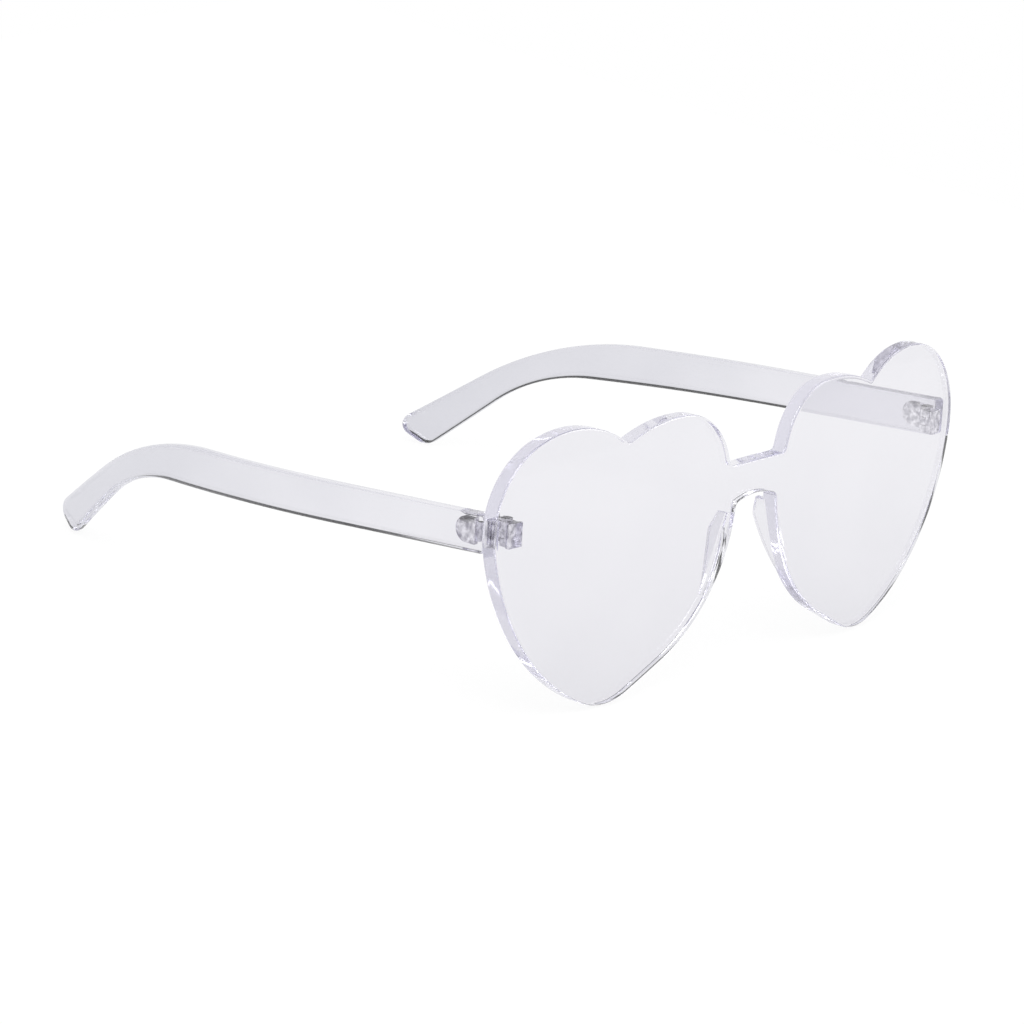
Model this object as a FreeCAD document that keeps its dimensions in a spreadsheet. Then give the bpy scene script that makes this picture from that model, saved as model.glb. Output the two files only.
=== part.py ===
import FreeCAD, Part
import math
import os
import Sketcher

# Rimless one-piece heart glasses in clear plastic, millimetres.
# Drawing frame: the lens stands upright and faces -Y, +X is the wearer's left, +Z is up, and y = 0 is the
# lens's front face at the bridge. The finished pieces are tilted back together until the heart tips and the
# temple tips stand on z = 0. The left-hand pieces are drawn, and the right-hand ones mirror them.

doc = FreeCAD.newDocument("heart_glasses")
Vector = FreeCAD.Vector

# Driving dimensions: name and value, lengths in millimetres and angles in degrees
DIMENSIONS = [
    ("lens_thickness", 3.3),
    ("lens_radius", 470.0),
    ("bridge_top", 14.3),
    ("arch_top", 7.4),
    ("arch_side", 6.2),
    ("notch_across", 8.78),
    ("notch_up", 14.2),
    ("lobe_heading", 80.56),
    ("inner_lobe_radius", 14.71),
    ("inner_lobe_sweep", 76.44),
    ("inner_crown_radius", 35.55),
    ("inner_crown_sweep", 28.23),
    ("cleft_turn", 60.22),
    ("outer_crown_radius", 24.66),
    ("outer_crown_sweep", 57.98),
    ("shoulder_radius", 17.56),
    ("shoulder_sweep", 77.46),
    ("flank_radius", 45.35),
    ("flank_sweep", 57.53),
    ("tip_radius", 14.16),
    ("tip_turn", 49.94),
    ("nose_run", 10.58),
    ("nose_radius", 35.28),
    ("nose_sweep", 56.0),
    ("cleft_rounding", 1.0),
    ("notch_rounding", 1.4),
    ("arch_rounding", 1.2),
    ("rim_bevel", 0.6),
    ("pad_width", 2.6),
    ("pad_end_width", 1.6),
    ("pad_depth", 3.2),
    ("pad_top", 4.2),
    ("pad_bottom", -11.5),
    ("pad_top_depth", 2.2),
    ("pad_shoulder", 0.6),
    ("pad_bottom_depth", 0.6),
    ("pad_reach", 16.0),
    ("pad_bevel", 0.25),
    ("temple_thickness", 3.1),
    ("temple_across", 71.37),
    ("temple_front", 9.6),
    ("temple_straight", 35.4),
    ("temple_bow_radius", 223.0),
    ("temple_top", 13.4),
    ("temple_bottom", 5.85),
    ("temple_slope", 2.95),
    ("temple_bottom_slope", 3.5),
    ("temple_top_run", 72.99),
    ("ear_top_radius", 65.5),
    ("ear_top_sweep", 32.94),
    ("ear_tip_run", 21.83),
    ("tip_height", 8.45),
    ("tip_cut", 113.9),
    ("ear_bottom_run", 18.25),
    ("ear_bottom_radius", 35.05),
    ("ear_bottom_sweep", 37.46),
    ("tip_corner_rounding", 2.6),
    ("temple_edge_bevel", 0.6),
    ("pin_across", 67.6),
    ("pin_depth", 9.95),
    ("hinge_up", 9.5),
    ("barrel_radius", 1.3),
    ("barrel_stack", 4.8),
    ("middle_barrel", 1.6),
    ("barrel_gap", 0.05),
    ("barrel_room", 0.2),
    ("pin_radius", 0.7),
    ("pin_clearance", 0.05),
    ("screw_fit", 0.02),
    ("leaf_thickness", 1.4),
    ("front_leaf_inner", 66.0),
    ("front_leaf_outer", 69.6),
    ("front_recess_floor", 6.6),
    ("temple_recess_depth", 0.9),
    ("temple_plate_thickness", 1.0),
    ("temple_plate_height", 5.2),
    ("temple_plate_start", 12.6),
    ("temple_plate_end", 17.3),
    ("temple_seat_start", 11.5),
    ("temple_neck_start", 11.6),
    ("temple_neck_height", 3.8),
    ("recess_clearance", 0.05),
    ("screw_head_radius", 1.2),
    ("screw_head_height", 0.6),
    ("screw_slot", 0.35),
    ("screw_end", 0.2),
    ("rest_tilt", 4.21),
]

sheet = doc.addObject("Spreadsheet::Sheet", "dims")
for row, (alias, number) in enumerate(DIMENSIONS, start=1):
    sheet.set(f"A{row}", alias)
    sheet.set(f"B{row}", str(number))
    sheet.setAlias(f"B{row}", alias)
doc.recompute()


def dim(alias):
    """A driving dimension's value, read from the sheet."""
    return float(sheet.get(alias))


def bind(feature, **formulas):
    """Bind properties of a feature to the sheet, aliases written as in the sheet."""
    for name, formula in formulas.items():
        words = []
        for word in formula.split():
            words.append(f"dims.{word}" if word[0].isalpha() else word)
        feature.setExpression(name, " ".join(words))


class Pen:
    """Draws straight runs and arcs, each leaving as the last one arrived. Right turns count up."""

    def __init__(self, across, up, heading=0.0):
        self.start = Vector(across, up, 0)
        self.spot = Vector(across, up, 0)
        self.heading = heading
        self.pieces = []

    def turn(self, angle):
        self.heading -= angle

    def run(self, length):
        way = math.radians(self.heading)
        self.to(self.spot.x + length * math.cos(way), self.spot.y + length * math.sin(way))

    def to(self, across, up):
        end = Vector(across, up, 0)
        self.heading = math.degrees(math.atan2(end.y - self.spot.y, end.x - self.spot.x))
        self.pieces.append((Part.LineSegment(self.spot, end), 1, 2, None))
        self.spot = end

    def curve(self, radius, sweep, alias=None):
        side = 1 if sweep > 0 else -1
        way = math.radians(self.heading)
        centre = self.spot + Vector(math.sin(way), -math.cos(way), 0) * (radius * side)
        first = math.atan2(self.spot.y - centre.y, self.spot.x - centre.x)
        last = first - math.radians(sweep)
        circle = Part.Circle(centre, Vector(0, 0, 1), radius)
        if side > 0:
            self.pieces.append((Part.ArcOfCircle(circle, last, first), 2, 1, alias))
        else:
            self.pieces.append((Part.ArcOfCircle(circle, first, last), 1, 2, alias))
        self.spot = centre + Vector(math.cos(last), math.sin(last), 0) * radius
        self.heading -= sweep

    def through(self, middle, end):
        """An arc from here through a middle point to an end point."""
        arc = Part.Arc(self.spot, middle, end).toShape().Curve
        circle = Part.Circle(arc.Center, Vector(0, 0, 1), arc.Radius)
        angles = [math.atan2(spot.y - arc.Center.y, spot.x - arc.Center.x) for spot in (self.spot, end)]
        if arc.Axis.z > 0:
            self.pieces.append((Part.ArcOfCircle(circle, angles[0], angles[1]), 1, 2, None))
        else:
            self.pieces.append((Part.ArcOfCircle(circle, angles[1], angles[0]), 2, 1, None))
        self.spot = end

    def close(self):
        self.to(self.start.x, self.start.y)


def new_body(label):
    body = doc.addObject("PartDesign::Body", label)
    body.Label = label
    return body


def origin_plane(body, role):
    return next(item for item in body.Origin.OriginFeatures if item.Role == role)


def new_sketch(body, name, role, offset=0.0):
    """A sketch on one of the body's own planes, moved off it along the plane's normal."""
    sketch = body.newObject("Sketcher::SketchObject", name)
    sketch.AttachmentSupport = [(origin_plane(body, role), "")]
    sketch.MapMode = "FlatFace"
    sketch.AttachmentOffset = FreeCAD.Placement(Vector(0, 0, offset), FreeCAD.Rotation())
    return sketch


def draw(sketch, pen):
    """Add a closed outline, its corners joined and its named radii bound to the sheet."""
    first = sketch.GeometryCount
    count = len(pen.pieces)
    for piece in pen.pieces:
        sketch.addGeometry(piece[0], False)
    for index, piece in enumerate(pen.pieces):
        after = (index + 1) % count
        sketch.addConstraint(Sketcher.Constraint(
            "Coincident", first + index, piece[2], first + after, pen.pieces[after][1]))
    for index, piece in enumerate(pen.pieces):
        alias = piece[3]
        if alias:
            number = sketch.addConstraint(Sketcher.Constraint("Radius", first + index, dim(alias)))
            sketch.renameConstraint(number, alias)
            sketch.setExpression(f"Constraints.{alias}", f"dims.{alias}")


def draw_box(sketch, low_across, low_up, high_across, high_up):
    pen = Pen(low_across, low_up)
    pen.to(high_across, low_up)
    pen.to(high_across, high_up)
    pen.to(low_across, high_up)
    pen.close()
    draw(sketch, pen)


def pad(body, name, sketch, length, symmetric=True, backwards=False):
    feature = body.newObject("PartDesign::Pad", name)
    feature.Profile = sketch
    feature.SideType = "Symmetric" if symmetric else "One side"
    feature.Reversed = backwards
    bind(feature, Length=length)
    doc.recompute()
    return feature


def cut(body, name, sketch, length=None, symmetric=True, backwards=False):
    """Remove a sketch's area from the body, right through unless a length is given. Raises if it misses."""
    before = body.Shape.Volume
    feature = body.newObject("PartDesign::Pocket", name)
    feature.Profile = sketch
    feature.SideType = "Symmetric" if symmetric else "One side"
    feature.Reversed = backwards
    if length:
        bind(feature, Length=length)
    else:
        feature.Type = "ThroughAll"
    doc.recompute()
    if body.Shape.Volume > before - 1e-3:
        raise RuntimeError(f"{name} cuts nothing")
    return feature


def dress(body, kind, name, chosen, **sizes):
    """Dress, with a Fillet or a Chamfer, every edge of the body that the chosen test accepts."""
    base = body.Tip
    names = [f"Edge{number}" for number, edge in enumerate(base.Shape.Edges, start=1) if chosen(edge)]
    feature = body.newObject(f"PartDesign::{kind}", name)
    feature.Base = (base, names)
    bind(feature, **sizes)
    doc.recompute()
    if not names or "Invalid" in feature.State:
        raise RuntimeError(f"{name} dresses nothing")


def border_of(body, wanted):
    """A test for the edges round those faces of the body that the wanted test accepts."""
    edges = []
    for face in body.Tip.Shape.Faces:
        if wanted(face):
            edges += face.Edges
    return lambda edge: sum(edge.isSame(other) for other in edges) == 1


def mid_point(edge):
    return edge.valueAt((edge.FirstParameter + edge.LastParameter) / 2)


def near_line(across, up, along):
    """A test for straight edges that run along one axis through a point given on the other two."""
    def test(edge):
        if not isinstance(edge.Curve, Part.Line):
            return False
        middle = mid_point(edge)
        spots = {"y": (middle.x, middle.z), "x": (middle.y, middle.z)}
        return math.hypot(spots[along][0] - across, spots[along][1] - up) < 0.05
    return test


# One-piece lens: a shallow bowl, cut to the outline of one heart and half the bridge, and mirrored
REACH = 40.0
LENS_SPAN = 80.0
OVERSHOOT = 1.0


def heart_outline():
    """The half outline from the top of the bridge, clockwise round the heart to the nose arch."""
    pen = Pen(0, dim("bridge_top"))
    pen.to(dim("notch_across"), dim("notch_up"))
    corners = {"notch": pen.spot}
    pen.heading = dim("lobe_heading")
    for name in ("inner_lobe", "inner_crown"):
        pen.curve(dim(f"{name}_radius"), dim(f"{name}_sweep"), f"{name}_radius")
    corners["cleft"] = pen.spot
    pen.turn(-dim("cleft_turn"))
    for name in ("outer_crown", "shoulder", "flank"):
        pen.curve(dim(f"{name}_radius"), dim(f"{name}_sweep"), f"{name}_radius")
    pen.curve(dim("tip_radius"), dim("tip_turn"), "tip_radius")
    pen.run(dim("nose_run"))
    pen.curve(dim("nose_radius"), dim("nose_sweep"), "nose_radius")
    pen.run((dim("arch_side") - pen.spot.y) / math.sin(math.radians(pen.heading)))
    corners["arch"] = pen.spot
    rise = dim("arch_top") - dim("arch_side")
    arch_radius = (pen.spot.x ** 2 + rise ** 2) / (2 * rise)
    arch_sweep = math.degrees(math.asin(pen.spot.x / arch_radius))
    pen.heading = 180 - arch_sweep
    pen.curve(arch_radius, -arch_sweep)
    pen.close()
    return pen, corners


def bowl_section(front_radius, thickness, span):
    """Section through half the bowl, from its middle out to a given distance across."""
    angle = math.degrees(math.asin(span / front_radius))
    pen = Pen(0, thickness, 90)
    pen.to(0, 0)
    pen.heading = 0
    pen.curve(front_radius, -angle, "lens_radius")
    pen.turn(-90)
    pen.run(thickness)
    pen.turn(-90)
    pen.curve(front_radius - thickness, angle)
    return pen


def nose_pad(body, outline):
    """A fin behind the nose edge: a crescent in front view, and in side view a wedge with a cut-off top."""
    arc = next(piece[0] for piece in outline.pieces if piece[3] == "nose_radius")
    top, bottom = dim("pad_top"), dim("pad_bottom")

    def at(up, inset):
        angle = math.pi - math.asin((up - arc.Center.y) / arc.Radius)
        return arc.Center + Vector(math.cos(angle), math.sin(angle), 0) * (arc.Radius - inset)

    middle = (top + bottom) / 2
    pen = Pen(at(top, 0).x, at(top, 0).y)
    pen.through(at(middle, 0), at(bottom, 0))
    lower = at(bottom, dim("pad_end_width"))
    pen.to(lower.x, lower.y)
    pen.through(at(middle, dim("pad_width")), at(top, dim("pad_end_width")))
    pen.close()
    root = dim("lens_thickness") / 2
    crescent = new_sketch(body, "pad_crescent", "XZ_Plane", -root)
    draw(crescent, pen)
    pad(body, "pad_block", crescent, "lens_thickness + pad_depth", symmetric=False, backwards=True)

    rear = dim("lens_thickness")
    crest = Pen(rear + dim("pad_top_depth"), top + OVERSHOOT)
    crest.to(rear + dim("pad_depth"), dim("pad_shoulder"))
    crest.to(rear + dim("pad_bottom_depth"), bottom - OVERSHOOT)
    crest.to(REACH, bottom - OVERSHOOT)
    crest.to(REACH, top + OVERSHOOT)
    crest.close()
    side = new_sketch(body, "pad_side", "YZ_Plane")
    draw(side, crest)
    cut(body, "pad_crest", side, "pad_reach", symmetric=False, backwards=True)

    def is_crest(face):
        return isinstance(face.Surface, Part.Plane) and face.normalAt(0, 0).y > 0.5

    dress(body, "Chamfer", "pad_rim", border_of(body, is_crest), Size="pad_bevel")


def hinge_recess(body):
    """The pocket in the back of the lens that the front hinge leaf is seated in."""
    room = dim("recess_clearance")
    half = dim("barrel_stack") / 2 + room
    recess = new_sketch(body, "hinge_pocket", "XZ_Plane", -dim("front_recess_floor"))
    draw_box(recess, dim("front_leaf_inner") - room, dim("hinge_up") - half,
             dim("front_leaf_outer") + room, dim("hinge_up") + half)
    cut(body, "hinge_seat", recess, symmetric=False)


def front_lens():
    body = new_body("front_lens")
    section = new_sketch(body, "lens_section", "XY_Plane")
    draw(section, bowl_section(dim("lens_radius"), dim("lens_thickness"), LENS_SPAN))
    bowl = body.newObject("PartDesign::Revolution", "lens_bowl")
    bowl.Profile = section
    bowl.ReferenceAxis = (section, ["V_Axis"])
    bowl.Angle = 360
    doc.recompute()
    outline = new_sketch(body, "lens_outline", "XZ_Plane")
    pen, corners = heart_outline()
    draw(outline, pen)
    draw_box(outline, -3 * REACH, -3 * REACH, 3 * REACH, 3 * REACH)
    cut(body, "lens_cut", outline)
    for name, spot in corners.items():
        dress(body, "Fillet", f"{name}_corner", near_line(spot.x, spot.y, "y"), Radius=f"{name}_rounding")

    def is_front_or_back(face):
        return isinstance(face.Surface, Part.Sphere)

    border = border_of(body, is_front_or_back)
    dress(body, "Chamfer", "rim", lambda edge: border(edge) and mid_point(edge).x > 0.001, Size="rim_bevel")
    nose_pad(body, pen)
    hinge_recess(body)
    whole = body.newObject("PartDesign::Mirrored", "lens_mirror")
    whole.TransformMode = "Whole shape"
    whole.MirrorPlane = (origin_plane(body, "YZ_Plane"), [""])
    body.Tip = whole
    doc.recompute()
    return body


# Temples: a strip bowed inwards in plan, cut to the side profile with its ear bend
TEMPLE_SPAN = 144.0


def bowed_strip():
    """Plan of the temple, straight behind the hinge and then bowed inwards."""
    half = dim("temple_thickness") / 2
    bow = math.degrees(TEMPLE_SPAN / dim("temple_bow_radius"))
    pen = Pen(dim("temple_across") + half, dim("temple_front"), 90)
    pen.run(dim("temple_straight"))
    pen.curve(dim("temple_bow_radius") + half, -bow)
    pen.turn(-90)
    pen.run(2 * half)
    pen.turn(-90)
    pen.curve(dim("temple_bow_radius") - half, bow)
    pen.run(dim("temple_straight"))
    pen.close()
    return pen


def temple_profile():
    """Side view from the lower front corner, clockwise over the top to the tip and back underneath."""
    pen = Pen(dim("temple_front"), dim("temple_bottom"))
    pen.to(dim("temple_front"), dim("temple_top"))
    pen.heading = -dim("temple_slope")
    pen.run(dim("temple_top_run"))
    pen.curve(dim("ear_top_radius"), dim("ear_top_sweep"), "ear_top_radius")
    pen.run(dim("ear_tip_run"))
    corners = [pen.spot]
    pen.turn(dim("tip_cut"))
    pen.run(dim("tip_height"))
    corners.append(pen.spot)
    pen.heading = 180 - dim("temple_bottom_slope") - dim("ear_bottom_sweep")
    pen.run(dim("ear_bottom_run"))
    pen.curve(dim("ear_bottom_radius"), -dim("ear_bottom_sweep"), "ear_bottom_radius")
    pen.close()
    return pen, corners


def temple_left():
    body = new_body("temple_left")
    plan = new_sketch(body, "temple_plan", "XY_Plane")
    draw(plan, bowed_strip())
    strip = body.newObject("PartDesign::Pad", "temple_strip")
    strip.Profile = plan
    strip.SideType = "Symmetric"
    strip.Length = 2 * REACH
    doc.recompute()
    side = new_sketch(body, "temple_side", "YZ_Plane")
    pen, corners = temple_profile()
    draw(side, pen)
    draw_box(side, -REACH, -2 * REACH, 5 * REACH, 2 * REACH)
    cut(body, "temple_cut", side)
    for number, spot in enumerate(corners):
        corner = near_line(spot.x, spot.y, "x")
        dress(body, "Fillet", f"tip_corner_{number}", corner, Radius="tip_corner_rounding")

    def is_side(face):
        return abs(face.normalAt(*face.Surface.parameter(face.CenterOfMass)).x) > 0.8

    dress(body, "Chamfer", "temple_edges", border_of(body, is_side), Size="temple_edge_bevel")
    temple_recess(body)
    return body


def plate_end(pen, rise, end):
    """The plate's round rear end, from the upper side over to the lower one."""
    up = dim("hinge_up")
    pen.to(end - rise, up + rise)
    pen.through(Vector(end, up, 0), Vector(end - rise, up - rise, 0))


def temple_recess(body):
    """The pocket in the temple's inner face that the temple hinge leaf is seated in."""
    room = dim("recess_clearance")
    half = dim("temple_plate_height") / 2 + room
    front = dim("temple_seat_start")
    floor = dim("temple_across") - dim("temple_thickness") / 2 + dim("temple_recess_depth")
    pen = Pen(front, dim("hinge_up") - half)
    pen.to(front, dim("hinge_up") + half)
    plate_end(pen, half, dim("temple_plate_end") + room)
    pen.close()
    recess = new_sketch(body, "temple_pocket", "YZ_Plane", floor)
    draw(recess, pen)
    cut(body, "temple_seat", recess, symmetric=False)


# Hinges: a front leaf with two barrels, a temple leaf with the barrel between them, and a slotted screw


def pin_spot():
    return Vector(dim("pin_across"), dim("pin_depth"), 0)


def barrel_hole(body, name, radius, length=None):
    """A round hole about the pin, right through or only in the middle of the barrels."""
    sketch = new_sketch(body, f"{name}_circle", "XY_Plane", dim("hinge_up"))
    sketch.addGeometry(Part.Circle(pin_spot(), Vector(0, 0, 1), dim("barrel_radius")), False)
    number = sketch.addConstraint(Sketcher.Constraint("Radius", 0, dim("barrel_radius")))
    sketch.renameConstraint(number, "hole")
    bind(sketch, **{"Constraints.hole": radius})
    cut(body, name, sketch, length)


def front_hinge_leaf():
    """A foot seated in the lens, with the upper and lower barrels standing on its back."""
    body = new_body("front_hinge_leaf_left")
    pin = pin_spot()
    barrel = Vector(dim("barrel_radius"), 0, 0)
    inner, outer, floor = dim("front_leaf_inner"), dim("front_leaf_outer"), dim("front_recess_floor")
    back = floor + dim("leaf_thickness")
    barrel_side = pin.x + barrel.x
    pen = Pen(inner, floor)
    for across, depth in ((outer, floor), (outer, back), (barrel_side, back), (barrel_side, pin.y)):
        pen.to(across, depth)
    pen.through(pin + Vector(0, barrel.x, 0), pin - barrel)
    pen.to(pin.x - barrel.x, back)
    pen.to(inner, back)
    pen.close()
    plan = new_sketch(body, "front_leaf_plan", "XY_Plane", dim("hinge_up"))
    draw(plan, pen)
    pad(body, "front_leaf_block", plan, "barrel_stack")
    barrel_hole(body, "barrel_space", "barrel_radius + barrel_room", "middle_barrel + 2 * barrel_gap")
    barrel_hole(body, "front_leaf_bore", "pin_radius + screw_fit")
    return body


def temple_hinge_leaf():
    """A round-ended plate seated in the temple, cranked inwards to the middle barrel."""
    body = new_body("temple_hinge_leaf_left")
    pin = pin_spot()
    barrel = Vector(dim("barrel_radius"), 0, 0)
    thickness = dim("temple_plate_thickness")
    start, end = dim("temple_plate_start"), dim("temple_plate_end")
    seat = dim("temple_across") - dim("temple_thickness") / 2 + dim("temple_recess_depth")
    crank = seat - pin.x - barrel.x
    pen = Pen(pin.x + barrel.x, pin.y)
    pen.to(pin.x + barrel.x, start - crank)
    pen.to(seat, start)
    pen.to(seat, end)
    pen.to(seat - thickness, end)
    pen.to(seat - thickness, start + thickness / 2)
    pen.to(pin.x + barrel.x - thickness, start - crank + thickness / 2)
    inside = math.sqrt(barrel.x ** 2 - (barrel.x - thickness) ** 2)
    pen.to(pin.x + barrel.x - thickness, pin.y + inside)
    pen.through(pin - barrel, pen.start)
    plan = new_sketch(body, "temple_leaf_plan", "XY_Plane", dim("hinge_up"))
    draw(plan, pen)
    pad(body, "temple_leaf_block", plan, "temple_plate_height")

    heights = ("middle_barrel", "temple_neck_height", "temple_plate_height")
    knuckle, neck, plate = [dim(name) / 2 for name in heights]
    front, neck_start, up = pin.y - 2 * barrel.x, dim("temple_neck_start"), dim("hinge_up")
    steps = [(front, knuckle), (neck_start, knuckle), (neck_start, neck), (start, neck), (start, plate)]
    outline = Pen(front, up - knuckle)
    for along, rise in steps:
        outline.to(along, up + rise)
    plate_end(outline, plate, end)
    for along, rise in reversed(steps[1:]):
        outline.to(along, up - rise)
    outline.close()
    side = new_sketch(body, "temple_leaf_side", "YZ_Plane")
    draw(side, outline)
    draw_box(side, -REACH, -REACH, 2 * REACH, 2 * REACH)
    cut(body, "temple_leaf_cut", side)
    barrel_hole(body, "temple_leaf_bore", "pin_radius + pin_clearance")
    return body


def hinge_screw():
    """The slotted screw, drawn about its own middle and put in place at the pin."""
    body = new_body("hinge_screw_left")
    shaft, head = dim("pin_radius"), dim("screw_head_radius")
    shoulder = dim("barrel_stack") / 2
    crown = shoulder + dim("screw_head_height")
    foot = -shoulder - dim("screw_end")
    pen = Pen(0, foot)
    for across, up in ((shaft, foot), (shaft, shoulder), (head, shoulder), (head, crown), (0, crown)):
        pen.to(across, up)
    pen.close()
    profile = new_sketch(body, "screw_profile", "XZ_Plane")
    draw(profile, pen)
    turned = body.newObject("PartDesign::Revolution", "screw_turned")
    turned.Profile = profile
    turned.ReferenceAxis = (profile, ["V_Axis"])
    turned.Angle = 360
    doc.recompute()
    slot = new_sketch(body, "screw_slot_plan", "XY_Plane", crown)
    half = dim("screw_slot") / 2
    draw_box(slot, -half, -2 * head, half, 2 * head)
    cut(body, "screw_slot_cut", slot, "screw_slot", symmetric=False)
    body.Placement = FreeCAD.Placement(pin_spot() + Vector(0, 0, dim("hinge_up")), FreeCAD.Rotation())
    return body


# The standing pose: everything tilts back together and stands on its heart tips and temple tips
lens = front_lens()
left_pieces = [temple_left(), front_hinge_leaf(), temple_hinge_leaf(), hinge_screw()]
tilt = FreeCAD.Placement(Vector(), FreeCAD.Rotation(Vector(1, 0, 0), -dim("rest_tilt")))
for piece in [lens] + left_pieces:
    piece.Placement = tilt * piece.Placement
box = Part.makeCompound([piece.Shape for piece in [lens] + left_pieces]).optimalBoundingBox(False)
shift = FreeCAD.Placement(Vector(0, -(box.YMin + box.YMax) / 2, -box.ZMin), FreeCAD.Rotation())
for piece in [lens] + left_pieces:
    piece.Placement = shift * piece.Placement

right_pieces = []
for piece in left_pieces:
    twin = doc.addObject("Part::Mirroring", piece.Label.replace("left", "right"))
    twin.Label = piece.Label.replace("left", "right")
    twin.Source = piece
    twin.Normal = Vector(1, 0, 0)
    right_pieces.append(twin)
doc.recompute()

# Nothing is written unless every feature and every piece came out sound
for item in doc.Objects:
    if "Invalid" in item.State or "Error" in item.State:
        raise RuntimeError(f"{item.Name} failed")
pieces = [lens] + left_pieces + right_pieces
for piece in pieces:
    if piece.Shape.isNull() or not piece.Shape.isValid() or len(piece.Shape.Solids) != 1:
        raise RuntimeError(f"{piece.Label} is not one sound solid")
os.makedirs("parts", exist_ok=True)
for piece in pieces:
    piece.Shape.exportStep(f"parts/{piece.Label}.step")
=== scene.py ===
import math

import bmesh
import bpy
from mathutils import Matrix, Vector


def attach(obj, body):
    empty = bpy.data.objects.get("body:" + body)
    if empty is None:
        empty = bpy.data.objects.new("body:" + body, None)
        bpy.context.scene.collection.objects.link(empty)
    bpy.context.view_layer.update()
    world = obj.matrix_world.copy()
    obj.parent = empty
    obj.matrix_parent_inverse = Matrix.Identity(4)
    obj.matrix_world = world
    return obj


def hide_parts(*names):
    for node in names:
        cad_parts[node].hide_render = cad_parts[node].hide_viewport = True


# Clear one-piece heart glasses with small metal hinges, standing open on a white floor. Units are metres.

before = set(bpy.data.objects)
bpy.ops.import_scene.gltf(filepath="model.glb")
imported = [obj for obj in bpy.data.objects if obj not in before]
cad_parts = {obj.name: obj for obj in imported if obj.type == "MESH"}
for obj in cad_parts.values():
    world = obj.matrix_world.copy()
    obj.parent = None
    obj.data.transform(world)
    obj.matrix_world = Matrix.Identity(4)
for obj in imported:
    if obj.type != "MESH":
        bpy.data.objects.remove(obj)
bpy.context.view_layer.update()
scene = bpy.context.scene
MM = 0.001

# The plastic is drawn in the source's own frame, in millimetres: the lens faces -Y, +X is the wearer's left
# and +Z is up. This matrix tilts it back and stands it on the floor.
REST_TILT = 4.21
STAND_SPOT = Vector((0, -65.5056, 28.5386))
STAND = (Matrix.Scale(MM, 4) @ Matrix.Translation(STAND_SPOT)
         @ Matrix.Rotation(-math.radians(REST_TILT), 4, "X"))

# The front. An arc is its radius and its sweep in degrees.
LENS_RADIUS = 470.0
LENS_THICKNESS = 3.3
BRIDGE_TOP = 14.3
NOTCH_ACROSS, NOTCH_UP = 8.78, 14.2
LOBE_HEADING = 80.56
INNER_LOBE = (14.71, 76.44)
INNER_CROWN = (35.55, 28.23)
CLEFT_TURN = 60.22
OUTER_CROWN = (24.66, 57.98)
SHOULDER = (17.56, 77.46)
FLANK = (45.35, 57.53)
HEART_TIP = (14.16, 49.94)
NOSE_RUN = 10.58
NOSE_RADIUS = 35.28
NOSE_SWEEP = 56.0
ARCH_SIDE, ARCH_TOP = 6.2, 7.4
NOTCH_ROUNDING, CLEFT_ROUNDING, ARCH_ROUNDING = 1.4, 1.0, 1.2

# The temples
TEMPLE_THICKNESS = 3.1
TEMPLE_ACROSS = 71.37
TEMPLE_FRONT = 9.6
TEMPLE_BOTTOM, TEMPLE_TOP = 5.85, 13.4
TEMPLE_STRAIGHT = 35.4
TEMPLE_BOW_RADIUS = 223.0
TEMPLE_BOW_END = 130.0
TOP_SLOPE, TOP_RUN = 2.95, 72.99
TOP_BEND = (65.5, 32.94)
TOP_TAIL = 21.83
TIP_TURN, TIP_RUN = 113.9, 8.45
BOTTOM_TAIL = 18.25
BOTTOM_BEND_RADIUS = 35.05
BOTTOM_SLOPE, BOTTOM_SWEEP = 3.5, 37.46
TIP_ROUNDING, FRONT_ROUNDING = 2.6, 0.8


# Outlines


class Walk:
    """Samples an outline of runs and arcs, each leaving as the last one arrived. Right turns count up."""

    ARC_STEP = 1.25
    RUN_STEP = 1.0

    def __init__(self, across, up, heading=0.0):
        self.points = [Vector((across, up))]
        self.heading = heading

    @property
    def spot(self):
        return self.points[-1]

    def to(self, across, up):
        start, end = self.spot, Vector((across, up))
        self.heading = math.degrees(math.atan2(end.y - start.y, end.x - start.x))
        steps = math.ceil((end - start).length / self.RUN_STEP)
        self.points += [start.lerp(end, step / steps) for step in range(1, steps + 1)]

    def run(self, length):
        way = math.radians(self.heading)
        self.to(self.spot.x + length * math.cos(way), self.spot.y + length * math.sin(way))

    def curve(self, radius, sweep):
        """Adds an arc and gives its centre."""
        way = math.radians(self.heading)
        arm = Vector((-math.sin(way), math.cos(way))) * math.copysign(radius, sweep)
        centre = self.spot - arm
        steps = math.ceil(abs(sweep) / self.ARC_STEP)
        for step in range(1, steps + 1):
            self.points.append(centre + Matrix.Rotation(-math.radians(sweep) * step / steps, 2) @ arm)
        self.heading -= sweep
        return centre


CORNER_STEPS = 8
CLEAR_OF_ARC = 1.05


def round_corner(points, spot, radius):
    """Replaces the corner of a closed outline at a spot by a small arc."""
    count = len(points)
    at = min(range(count), key=lambda number: (points[number] - spot).length)
    before = (spot - points[at - 1]).normalized()
    after = (points[(at + 1) % count] - spot).normalized()
    turn = math.atan2(before.x * after.y - before.y * after.x, before.dot(after))
    trim = radius * math.tan(abs(turn) / 2)
    start = spot - before * trim
    centre = start + Vector((-before.y, before.x)) * math.copysign(radius, turn)
    arc = [centre + Matrix.Rotation(turn * step / CORNER_STEPS, 2) @ (start - centre)
           for step in range(CORNER_STEPS + 1)]
    kept = [point for point in points[at + 1:] + points[:at] if (point - spot).length > trim * CLEAR_OF_ARC]
    return arc + kept


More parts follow.
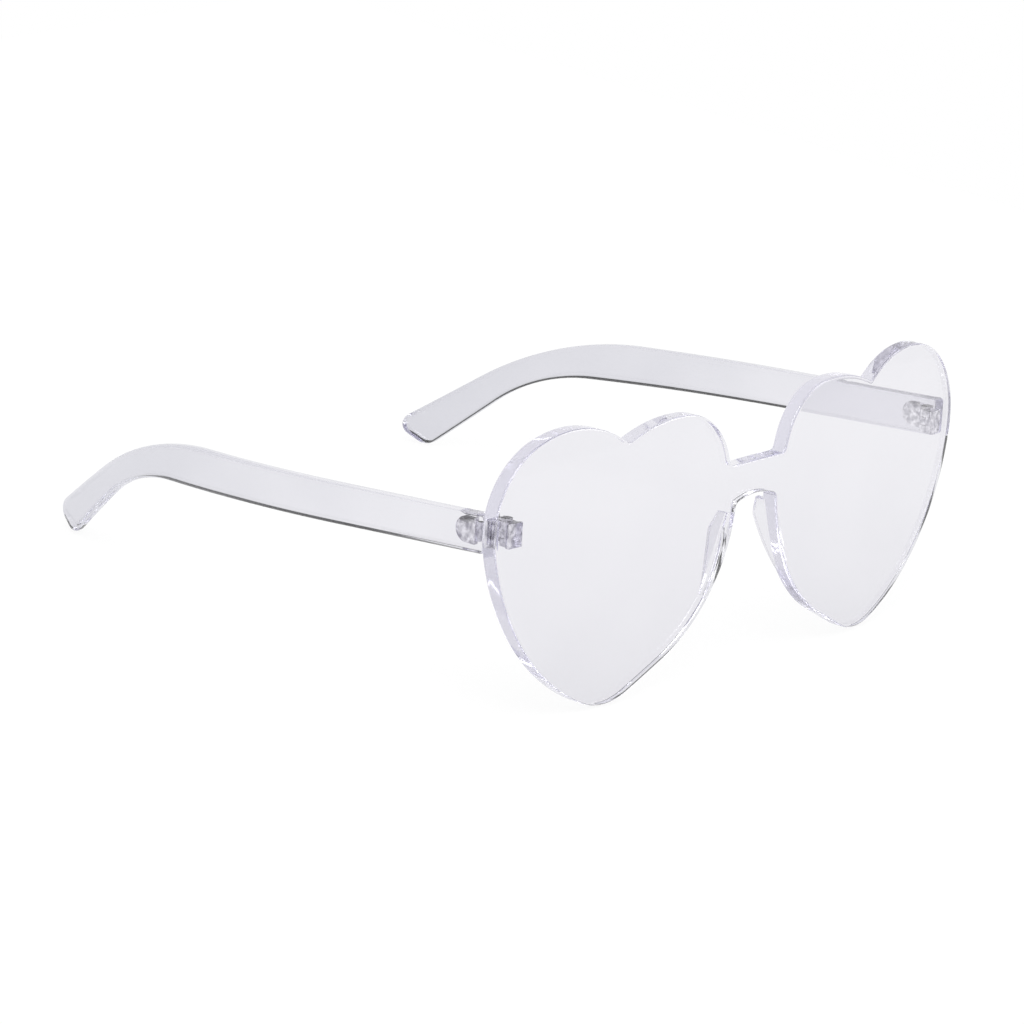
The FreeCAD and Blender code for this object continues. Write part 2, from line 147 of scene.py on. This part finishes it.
def heart_front():
    """The whole front outline, clockwise, with the centre of the left nose arc."""
    pen = Walk(0, BRIDGE_TOP)
    pen.to(NOTCH_ACROSS, NOTCH_UP)
    notch = pen.spot
    pen.heading = LOBE_HEADING
    pen.curve(*INNER_LOBE)
    pen.curve(*INNER_CROWN)
    cleft = pen.spot
    pen.heading += CLEFT_TURN
    pen.curve(*OUTER_CROWN)
    pen.curve(*SHOULDER)
    pen.curve(*FLANK)
    pen.curve(*HEART_TIP)
    pen.run(NOSE_RUN)
    nose_centre = pen.curve(NOSE_RADIUS, NOSE_SWEEP)
    pen.run((ARCH_SIDE - pen.spot.y) / math.sin(math.radians(pen.heading)))
    arch = pen.spot
    rise = ARCH_TOP - ARCH_SIDE
    arch_radius = (arch.x ** 2 + rise ** 2) / (2 * rise)
    arch_sweep = math.degrees(math.asin(arch.x / arch_radius))
    pen.heading = 180 - arch_sweep
    pen.curve(arch_radius, -arch_sweep)
    half = pen.points
    points = half + [Vector((-point.x, point.y)) for point in reversed(half[1:-1])]
    for spot, radius in ((notch, NOTCH_ROUNDING), (cleft, CLEFT_ROUNDING), (arch, ARCH_ROUNDING)):
        for side in (1, -1):
            points = round_corner(points, Vector((side * spot.x, spot.y)), radius)
    return points, nose_centre


def temple_side():
    """A temple's side view, from the lower front corner, clockwise over the top to the tip and back."""
    pen = Walk(TEMPLE_FRONT, TEMPLE_BOTTOM)
    pen.to(TEMPLE_FRONT, TEMPLE_TOP)
    front_corners = [pen.points[0], pen.spot]
    pen.heading = -TOP_SLOPE
    pen.run(TOP_RUN)
    pen.curve(*TOP_BEND)
    pen.run(TOP_TAIL)
    tip_corners = [pen.spot]
    pen.heading -= TIP_TURN
    pen.run(TIP_RUN)
    tip_corners.append(pen.spot)
    pen.heading = 180 - BOTTOM_SLOPE - BOTTOM_SWEEP
    pen.run(BOTTOM_TAIL)
    pen.curve(BOTTOM_BEND_RADIUS, -BOTTOM_SWEEP)
    pen.to(*front_corners[0])
    points = pen.points[:-1]
    for spot in tip_corners:
        points = round_corner(points, spot, TIP_ROUNDING)
    for spot in front_corners:
        points = round_corner(points, spot, FRONT_ROUNDING)
    return points


# Plates with round edges

EDGE_STEPS = 9
SUPPORT = 0.25


def edge_rings(thickness, rounding):
    """Inset and depth, at one point, of the rings from the front face, round the edge, to the back face."""
    rings = [(rounding + SUPPORT, 0.0)]
    for step in range(EDGE_STEPS + 1):
        angle = math.pi / 2 * step / EDGE_STEPS
        rings.append((rounding * (1 - math.sin(angle)), rounding * (1 - math.cos(angle))))
    return rings + [(inset, thickness - depth) for inset, depth in reversed(rings)]


def inward(points):
    """The inward direction at each point of a clockwise outline."""
    count = len(points)
    ways = []
    for number, point in enumerate(points):
        before = (point - points[number - 1]).normalized()
        after = (points[(number + 1) % count] - point).normalized()
        along = (before + after).normalized()
        ways.append(Vector((along.y, -along.x)))
    return ways


def plate(points, thickness, rounding, cuts):
    """A flat plate as a bmesh, in (across, depth, up), its two faces cut into cells by the given planes."""
    mesh = bmesh.new()
    columns = []
    for point, way in zip(points, inward(points)):
        column = []
        for inset, depth in edge_rings(thickness, rounding(point)):
            spot = point + way * inset
            column.append(mesh.verts.new((spot.x, depth, spot.y)))
        columns.append(column)
    loops = list(zip(*columns))
    count = len(points)
    for first, second in zip(loops, loops[1:]):
        for number in range(count):
            after = (number + 1) % count
            mesh.faces.new((first[number], first[after], second[after], second[number]))
    cells = [mesh.faces.new(loops[0]), mesh.faces.new(loops[-1])]
    for line_spot, line_way in cuts:
        pieces = set(cells)
        for face in cells:
            pieces.update(face.edges)
            pieces.update(face.verts)
        result = bmesh.ops.bisect_plane(mesh, geom=list(pieces), plane_co=line_spot, plane_no=line_way)
        cells = [piece for piece in result["geom"] if isinstance(piece, bmesh.types.BMFace)]
    return mesh


def lines_across(axis, low, high, step):
    """Evenly spaced cutting planes square to an axis."""
    count = math.floor((high - low) / step)
    return [(axis * (low + step * number), axis) for number in range(count + 1)]


def new_piece(name, mesh, place):
    """Shapes a plate's points by the given function, stands it on the floor and makes it an object with its
    faces turned outwards.
    """
    for vertex in mesh.verts:
        vertex.co = STAND @ place(vertex.co)
    bmesh.ops.recalc_face_normals(mesh, faces=mesh.faces)
    if mesh.calc_volume(signed=True) < 0:
        bmesh.ops.reverse_faces(mesh, faces=mesh.faces)
    data = bpy.data.meshes.new(name)
    mesh.to_mesh(data)
    mesh.free()
    piece = bpy.data.objects.new(name, data)
    scene.collection.objects.link(piece)
    return piece


CREASE = math.radians(32)


def smooth(piece):
    """Shades a piece smoothly, apart from its real corners."""
    piece.data.polygons.foreach_set("use_smooth", [True] * len(piece.data.polygons))
    piece.data.set_sharp_from_angle(angle=CREASE)
    piece.data.update()


def keep_modifiers(piece):
    """Replaces a piece's mesh by what its modifiers make of it."""
    shaped = piece.evaluated_get(bpy.context.evaluated_depsgraph_get())
    data = bpy.data.meshes.new_from_object(shaped)
    piece.modifiers.clear()
    piece.data = data


# The front, with its nose pads

X, Z = Vector((1, 0, 0)), Vector((0, 0, 1))
LENS_EDGE = 0.5
LENS_CELL = 5.0
LENS_CELLS_ACROSS, LENS_CELLS_UP = 70.0, 25.0
PAD_STEPS, PAD_CORNER_STEPS = 24, 5
PAD_TOP, PAD_SHOULDER, PAD_BOTTOM = 4.2, 0.6, -11.5
PAD_TOP_DEPTH, PAD_SHOULDER_DEPTH, PAD_BOTTOM_DEPTH = 2.2, 3.2, 0.6
PAD_END_WIDTH, PAD_MIDDLE_WIDTH = 1.6, 2.6
PAD_EDGE = 0.75
PAD_INSET = 0.06


def on_bowl(spot):
    """Bends the flat front into its shallow bowl."""
    inner = LENS_RADIUS - spot.y
    return Vector((spot.x, LENS_RADIUS - math.sqrt(inner ** 2 - spot.x ** 2 - spot.z ** 2), spot.z))


def pad_crest(up):
    """How far a nose pad stands behind the lens at a height: a wedge with a cut-off top."""
    end, end_depth = PAD_BOTTOM, PAD_BOTTOM_DEPTH
    if up > PAD_SHOULDER:
        end, end_depth = PAD_TOP, PAD_TOP_DEPTH
    share = (up - PAD_SHOULDER) / (end - PAD_SHOULDER)
    return PAD_SHOULDER_DEPTH + share * (end_depth - PAD_SHOULDER_DEPTH)


def pad_section(width, crest):
    """From inside the lens, up one side of the pad, over its round crest and down the other side."""
    root = LENS_THICKNESS / 2
    section = [(0.0, root)]
    for step in range(PAD_CORNER_STEPS + 1):
        angle = math.pi / 2 * step / PAD_CORNER_STEPS
        section.append((PAD_EDGE * (1 - math.cos(angle)), crest - PAD_EDGE * (1 - math.sin(angle))))
    return section + [(width - across, depth) for across, depth in reversed(section)]


def nose_pad(side, centre):
    """A crescent fin along the nose edge, its outer side just inside the lens's own edge."""
    mesh = bmesh.new()
    loops = []
    for step in range(PAD_STEPS + 1):
        share = step / PAD_STEPS
        up = PAD_TOP + share * (PAD_BOTTOM - PAD_TOP)
        angle = math.pi - math.asin((up - centre.y) / NOSE_RADIUS)
        width = PAD_END_WIDTH + (PAD_MIDDLE_WIDTH - PAD_END_WIDTH) * (1 - (2 * share - 1) ** 2)
        loop = []
        for across, depth in pad_section(width, LENS_THICKNESS + pad_crest(up)):
            arm = NOSE_RADIUS - PAD_INSET - across
            spot = Vector((centre.x + arm * math.cos(angle), depth, centre.y + arm * math.sin(angle)))
            loop.append(mesh.verts.new((side * spot.x, spot.y, spot.z)))
        loops.append(loop)
    count = len(loops[0])
    for first, second in zip(loops, loops[1:]):
        for number in range(count):
            after = (number + 1) % count
            mesh.faces.new((first[number], first[after], second[after], second[number]))
    mesh.faces.new(loops[0])
    mesh.faces.new(loops[-1])
    return new_piece("nose_pad", mesh, lambda spot: spot)


def heart_lens():
    """The front with both its nose pads, as one piece."""
    points, nose_centre = heart_front()
    cuts = lines_across(X, -LENS_CELLS_ACROSS, LENS_CELLS_ACROSS, LENS_CELL)
    cuts += lines_across(Z, -LENS_CELLS_UP, LENS_CELLS_UP, LENS_CELL)
    lens = new_piece("heart_front", plate(points, LENS_THICKNESS, lambda point: LENS_EDGE, cuts), on_bowl)
    for side in (1, -1):
        fin = nose_pad(side, nose_centre)
        join = lens.modifiers.new("pad", "BOOLEAN")
        join.operation = "UNION"
        join.solver = "EXACT"
        join.object = fin
        keep_modifiers(lens)
        bpy.data.objects.remove(fin)
    smooth(lens)
    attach(lens, "front")
    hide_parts("front_lens")
    lens.data.materials.clear()
    lens.data.materials.append(front_plastic)


# Temples

TEMPLE_CELL = 4.0
TEMPLE_EAR = 75.0
HINGE_END_EDGE, EAR_EDGE = 0.4, 1.2


def temple_edge(point):
    """The edge is crisp at the hinge and grows rounder towards the ear."""
    share = min(1.0, (point.x - TEMPLE_FRONT) / (TEMPLE_EAR - TEMPLE_FRONT))
    return HINGE_END_EDGE + (EAR_EDGE - HINGE_END_EDGE) * max(0.0, share)


def clear_temple(name, side):
    """A strip with round edges, straight behind the hinge and then bowed inwards."""
    bow_start = TEMPLE_FRONT + TEMPLE_STRAIGHT
    bow_centre = TEMPLE_ACROSS - TEMPLE_BOW_RADIUS

    def place(spot):
        along, up = spot.x, spot.z
        offset = TEMPLE_THICKNESS / 2 - spot.y
        if along < bow_start:
            across = TEMPLE_ACROSS + offset
        else:
            reach = TEMPLE_BOW_RADIUS + offset
            across = bow_centre + math.sqrt(reach ** 2 - (along - bow_start) ** 2)
        return Vector((side * across, along, up))

    points = temple_side()
    cuts = lines_across(X, bow_start, TEMPLE_BOW_END, TEMPLE_CELL)
    temple = new_piece(f"clear_{name}", plate(points, TEMPLE_THICKNESS, temple_edge, cuts), place)
    smooth(temple)
    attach(temple, name)
    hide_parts(name)
    temple.data.materials.append(temple_plastic)


# Hinges

HINGE_EDGE = 0.32 * MM
WELD = 0.001 * MM
FLAT = math.radians(1)
SHARP = math.radians(40)


def hinge_piece(node_name, body, finish):
    """A hinge leaf or screw with its sharp edges rounded off, as tumbled metal has them."""
    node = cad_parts[node_name]
    piece = bpy.data.objects.new(f"rounded_{node_name}", node.data.copy())
    scene.collection.objects.link(piece)
    mesh = bmesh.new()
    mesh.from_mesh(piece.data)
    bmesh.ops.remove_doubles(mesh, verts=mesh.verts, dist=WELD)
    bmesh.ops.dissolve_limit(mesh, angle_limit=FLAT, verts=mesh.verts, edges=mesh.edges)
    mesh.to_mesh(piece.data)
    mesh.free()
    bevel = piece.modifiers.new("edges", "BEVEL")
    bevel.width = HINGE_EDGE
    bevel.segments = 3
    bevel.limit_method = "ANGLE"
    bevel.angle_limit = SHARP
    keep_modifiers(piece)
    smooth(piece)
    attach(piece, body)
    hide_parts(node_name)
    piece.data.materials.clear()
    piece.data.materials.append(finish)


# Materials


class Nodes:
    """Writes a node tree from top to bottom. Each call adds a node, fills its inputs and gives an output."""

    def __init__(self, tree):
        self.tree = tree
        tree.nodes.clear()

    def add(self, kind, inputs=None, output=0, **settings):
        node = self.tree.nodes.new(kind)
        for name, value in settings.items():
            setattr(node, name, value)
        for name, value in (inputs or {}).items():
            if isinstance(value, bpy.types.NodeSocket):
                self.tree.links.new(value, node.inputs[name])
            else:
                node.inputs[name].default_value = value
        return node.outputs[output] if node.outputs else node

    def math(self, operation, first, second):
        return self.add("ShaderNodeMath", {0: first, 1: second}, operation=operation)

    def blend(self, factor, first, second):
        return self.add("ShaderNodeMix", {0: factor, 6: first, 7: second}, output=2, data_type="RGBA")

    def spread(self, value, source, target=(0.0, 1.0)):
        """Stretches one range of a value over another."""
        return self.add("ShaderNodeMapRange", {
            "Value": value, "From Min": source[0], "From Max": source[1],
            "To Min": target[0], "To Max": target[1]})

    def noise(self, spot, scale, detail, roughness=0.5):
        return self.add("ShaderNodeTexNoise", {
            "Vector": spot, "Scale": scale, "Detail": detail, "Roughness": roughness})


def new_material(name):
    material = bpy.data.materials.new(name)
    material.use_nodes = True
    return material, Nodes(material.node_tree)


def colour(red, green, blue):
    return (red, green, blue, 1.0)


def clear_plastic(name, pale, deep, axis, pale_end, deep_end):
    """Moulded clear plastic: faint lavender, with flow ripples, hairline scratches and a little haze. Its
    tint also carries painted shade that darkens it from the pale end of one axis to the deep end.
    """
    material, nodes = new_material(name)
    spot = nodes.add("ShaderNodeTexCoord", output="Object")
    flow = nodes.noise(spot, scale=45.0, detail=1.0)
    handling = nodes.noise(spot, scale=160.0, detail=4.0, roughness=0.6)
    along = nodes.add("ShaderNodeMapping", {
        "Vector": spot, "Rotation": (0.3, 0.2, 0.5), "Scale": (9000.0, 700.0, 250.0)})
    hairlines = nodes.noise(along, scale=1.0, detail=1.0)
    scratches = nodes.spread(hairlines, source=(0.70, 0.78), target=(0.0, 0.05))
    along_axis = nodes.add("ShaderNodeSeparateXYZ", {"Vector": spot}, output=axis)
    # Painted shade: the tint darkens along one axis, towards the bottom of the front and towards the ear on
    # the temples
    painted_shade_share = nodes.spread(along_axis, source=(pale_end, deep_end))
    painted_shade_and_flow = nodes.math("ADD", painted_shade_share, nodes.spread(flow, source=(0.3, 0.7), target=(-0.15, 0.15)))
    tint_and_painted_shade = nodes.blend(painted_shade_and_flow, pale, deep)
    touched = nodes.spread(handling, source=(0.45, 0.8), target=(0.004, 0.03))
    rough = nodes.math("MAXIMUM", touched, scratches)
    ripple = nodes.add("ShaderNodeBump", {"Strength": 0.05, "Distance": 0.001, "Height": flow})
    bump = nodes.add("ShaderNodeBump", {
        "Strength": 0.02, "Distance": 0.0001, "Height": scratches, "Normal": ripple})
    surface = nodes.add("ShaderNodeBsdfPrincipled", {
        "Base Color": tint_and_painted_shade, "Roughness": rough, "Normal": bump, "IOR": 1.57, "Transmission Weight": 1.0})
    depth = nodes.add("ShaderNodeVolumeAbsorption", {"Color": colour(0.45, 0.42, 0.66), "Density": 4.0})
    nodes.add("ShaderNodeOutputMaterial", {"Surface": surface, "Volume": depth})
    return material


def nickel(name, pale, dark, gloss):
    """Nickel-plated hinge metal, brushed along its length and duller in patches."""
    material, nodes = new_material(name)
    spot = nodes.add("ShaderNodeTexCoord", output="Object")
    along = nodes.add("ShaderNodeMapping", {"Vector": spot, "Scale": (6000.0, 500.0, 6000.0)})
    brushed = nodes.noise(along, scale=1.0, detail=3.0, roughness=0.6)
    patches = nodes.noise(spot, scale=1000.0, detail=4.0, roughness=0.55)
    tone = nodes.blend(nodes.spread(patches, source=(0.33, 0.64)), dark, pale)
    rough = nodes.spread(brushed, source=(0.25, 0.75), target=(gloss, gloss + 0.15))
    bump = nodes.add("ShaderNodeBump", {"Strength": 0.25, "Distance": 0.00003, "Height": brushed})
    surface = nodes.add("ShaderNodeBsdfPrincipled", {
        "Base Color": tone, "Roughness": rough, "Normal": bump, "Metallic": 1.0})
    nodes.add("ShaderNodeOutputMaterial", {"Surface": surface})
    return material


# Painted shade: the front's tint is darker towards its bottom, the temples' tint darker towards the ear
front_plastic = clear_plastic(
    "clear_front", pale=colour(0.855, 0.85, 0.885), deep=colour(0.79, 0.785, 0.825),
    axis="Z", pale_end=0.045, deep_end=0.0)
temple_plastic = clear_plastic(
    "clear_temple", pale=colour(0.84, 0.835, 0.875), deep=colour(0.67, 0.67, 0.72),
    axis="Y", pale_end=-0.05, deep_end=0.06)
leaf_metal = nickel("hinge_metal", pale=colour(0.95, 0.94, 0.97), dark=colour(0.38, 0.37, 0.42), gloss=0.08)
screw_metal = nickel("screw_metal", pale=colour(0.70, 0.69, 0.71), dark=colour(0.36, 0.35, 0.38), gloss=0.18)

heart_lens()
for side_name, side in (("left", 1), ("right", -1)):
    clear_temple(f"temple_{side_name}", side)
    hinge_piece(f"front_hinge_leaf_{side_name}", "front", leaf_metal)
    hinge_piece(f"temple_hinge_leaf_{side_name}", f"temple_{side_name}", leaf_metal)
    hinge_piece(f"hinge_screw_{side_name}", "front", screw_metal)


# Floor and light

FLOOR_SIZE = 0.7
FLOOR_DROP = 0.0003
FLOOR_GLOW = 0.92


def white_floor():
    """A plain white floor that still takes a soft shadow."""
    bpy.ops.mesh.primitive_plane_add(size=FLOOR_SIZE, location=(0, 0, -FLOOR_DROP))
    floor = bpy.context.object
    floor.name = "floor"
    material, nodes = new_material("white_floor")
    rays = nodes.add("ShaderNodeLightPath").node
    seen = nodes.math("MAXIMUM", rays.outputs["Is Camera Ray"], rays.outputs["Is Glossy Ray"])
    seen = nodes.math("MAXIMUM", seen, rays.outputs["Is Transmission Ray"])
    matt = nodes.add("ShaderNodeBsdfDiffuse", {"Color": colour(0.9, 0.9, 0.9)})
    glow = nodes.add("ShaderNodeEmission", {"Color": colour(1, 1, 1), "Strength": 1.0})
    shown = nodes.math("MULTIPLY", seen, FLOOR_GLOW)
    surface = nodes.add("ShaderNodeMixShader", {0: shown, 1: matt, 2: glow})
    nodes.add("ShaderNodeOutputMaterial", {"Surface": surface})
    floor.data.materials.append(material)


# The room's dim places, as ranges of direction: sideways, in depth and in height. OPEN stands for no limit.
OPEN = 2.0
ROOM = ((0.1, OPEN), (0.2, OPEN), (0.10, 0.70))
FLAG = ((-OPEN, -0.3), (0.2, OPEN), (-0.12, 0.14))
DOORWAY = ((-0.75, -0.3), (0.2, OPEN), (0.34, 0.55))
SOFT_BORDER = 0.03
FEW_BOUNCES = 4.5
AT_LEAST_ONE = 0.5
LIT, DIM = 0.95, 0.03


def studio_world():
    """White where the camera looks. Light that went through plastic a few times shows the dim places."""
    world = bpy.data.worlds.new("studio")
    world.use_nodes = True
    scene.world = world
    nodes = Nodes(world.node_tree)
    rays = nodes.add("ShaderNodeLightPath").node
    way = nodes.add("ShaderNodeTexCoord", output="Generated")
    parts = nodes.add("ShaderNodeSeparateXYZ", {"Vector": way}).node

    def within(value, low, high):
        rise = nodes.spread(value, source=(low - SOFT_BORDER, low + SOFT_BORDER))
        fall = nodes.spread(value, source=(high - SOFT_BORDER, high + SOFT_BORDER), target=(1.0, 0.0))
        return nodes.math("MULTIPLY", rise, fall)

    def zone(sideways, depth, height):
        level_part = nodes.math(
            "MULTIPLY", within(parts.outputs["X"], *sideways), within(parts.outputs["Y"], *depth))
        return nodes.math("MULTIPLY", level_part, within(parts.outputs["Z"], *height))

    mirrored = nodes.math("GREATER_THAN", rays.outputs["Glossy Depth"], AT_LEAST_ONE)
    refracted = nodes.math("GREATER_THAN", rays.outputs["Transmission Depth"], AT_LEAST_ONE)
    short = nodes.math("LESS_THAN", rays.outputs["Ray Depth"], FEW_BOUNCES)
    left_side = nodes.math("MULTIPLY", nodes.math("MAXIMUM", zone(*FLAG), zone(*DOORWAY)), mirrored)
    dim = nodes.math("MAXIMUM", zone(*ROOM), left_side)
    dim = nodes.math("MULTIPLY", dim, nodes.math("MULTIPLY", short, refracted))
    level = nodes.spread(dim, source=(0.0, 1.0), target=(LIT, DIM))
    level = nodes.add(
        "ShaderNodeMix", {0: rays.outputs["Is Camera Ray"], 2: level, 3: 1.0}, data_type="FLOAT")
    sky = nodes.add("ShaderNodeBackground", {"Color": colour(1, 1, 1), "Strength": level})
    nodes.add("ShaderNodeOutputWorld", {"Surface": sky})


def area_lamp(name, spot, aim, size, power):
    lamp = bpy.data.lights.new(name, "AREA")
    lamp.shape = "DISK"
    lamp.size = size
    lamp.energy = power
    holder = bpy.data.objects.new(name, lamp)
    holder.location = spot
    holder.rotation_mode = "QUATERNION"
    holder.rotation_quaternion = (Vector(aim) - Vector(spot)).to_track_quat("-Z", "Y")
    scene.collection.objects.link(holder)


white_floor()
studio_world()
AIM = (0, 0, 0.02)
area_lamp("key", spot=(-0.5, -0.3, 1.0), aim=AIM, size=0.7, power=6.0)
area_lamp("fill", spot=(0.7, -0.6, 0.6), aim=AIM, size=0.6, power=2.5)

# Light has to find its way through many faces of clear plastic
BOUNCES = 64
scene.cycles.max_bounces = BOUNCES
scene.cycles.glossy_bounces = BOUNCES
scene.cycles.transmission_bounces = BOUNCES


# Camera

CAMERA_SPOT = Vector((-0.92088, -0.70202, 0.38833))
AZIMUTH = math.radians(-52.9197)
ELEVATION = math.radians(17.9565)
ROLL = math.radians(7.2387)
LENS = 211.436


def place_camera():
    camera = bpy.data.cameras.new("camera")
    camera.lens = LENS
    camera.sensor_width = 36.0
    camera.clip_end = 20.0
    holder = bpy.data.objects.new("camera", camera)
    back = Vector((math.sin(AZIMUTH) * math.cos(ELEVATION), -math.cos(AZIMUTH) * math.cos(ELEVATION),
                   math.sin(ELEVATION)))
    level = Vector((math.cos(AZIMUTH), math.sin(AZIMUTH), 0))
    right = Matrix.Rotation(ROLL, 3, back) @ level
    turn = Matrix((right, back.cross(right), back)).transposed()
    holder.matrix_world = Matrix.Translation(CAMERA_SPOT) @ turn.to_4x4()
    scene.collection.objects.link(holder)
    scene.camera = holder


place_camera()
scene.view_settings.view_transform = "Standard"
